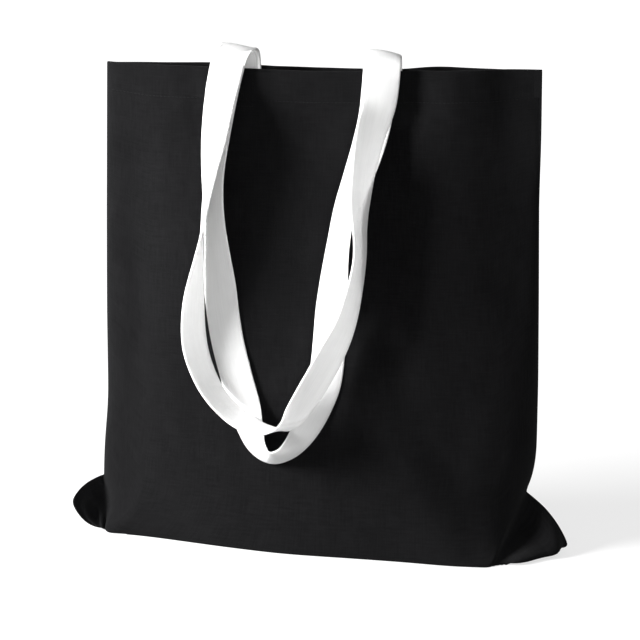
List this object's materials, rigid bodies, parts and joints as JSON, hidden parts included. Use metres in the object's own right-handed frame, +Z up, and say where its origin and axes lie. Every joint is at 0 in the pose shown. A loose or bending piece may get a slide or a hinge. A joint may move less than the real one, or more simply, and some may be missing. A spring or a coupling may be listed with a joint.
{
  "type": "canvas tote bag",
  "caption": "Flat black canvas tote bag standing open on its spread base, with two long white webbing handles draped over its front rim.",
  "frame": {"origin": "middle of the bag's box, on the surface it stands on", "axes": "+Z up, +X to the right when the front is seen, the front faces -Y"},
  "size_m": [0.38, 0.1172, 0.3865],
  "materials": {
    "black_canvas": "matt plain-weave cotton canvas",
    "white_webbing": "matt woven cotton tape",
    "black_thread": "matt sewing thread",
    "white_thread": "matt sewing thread"
  },
  "bodies": {
    "root": {"front_panel": "black_canvas", "back_panel": "black_canvas", "front_hem": "black_canvas", "back_hem": "black_canvas", "front_hem_stitch": "black_thread", "back_hem_stitch": "black_thread", "left_side_seam": "black_canvas", "right_side_seam": "black_canvas", "bottom_seam": "black_canvas", "left_side_overlock": "black_thread", "right_side_overlock": "black_thread", "bottom_overlock": "black_thread", "front_handle_left_end": "white_webbing", "front_handle_right_end": "white_webbing", "back_handle_left_end": "white_webbing", "back_handle_right_end": "white_webbing", "front_handle_left_box_stitch": "white_thread", "front_handle_right_box_stitch": "white_thread", "back_handle_left_box_stitch": "white_thread", "back_handle_right_box_stitch": "white_thread"},
    "front_handle": {"front_handle": "white_webbing"},
    "back_handle": {"back_handle": "white_webbing"}
  },
  "joints": [
    {"name": "back_handle_lift", "type": "hinge", "parent": "root", "child": "back_handle", "pos_m": [0, 0.0078, 0.374], "axis": [-1, 0, 0], "range_deg": [0, 170]},
    {"name": "front_handle_lift", "type": "hinge", "parent": "root", "child": "front_handle", "pos_m": [0, 0.00075, 0.375], "axis": [-1, 0, 0], "range_deg": [0, 170]}
  ],
  "couplings": [
    {"joint": "front_handle_lift", "follows": "back_handle_lift", "ratio": 1}
  ]
}
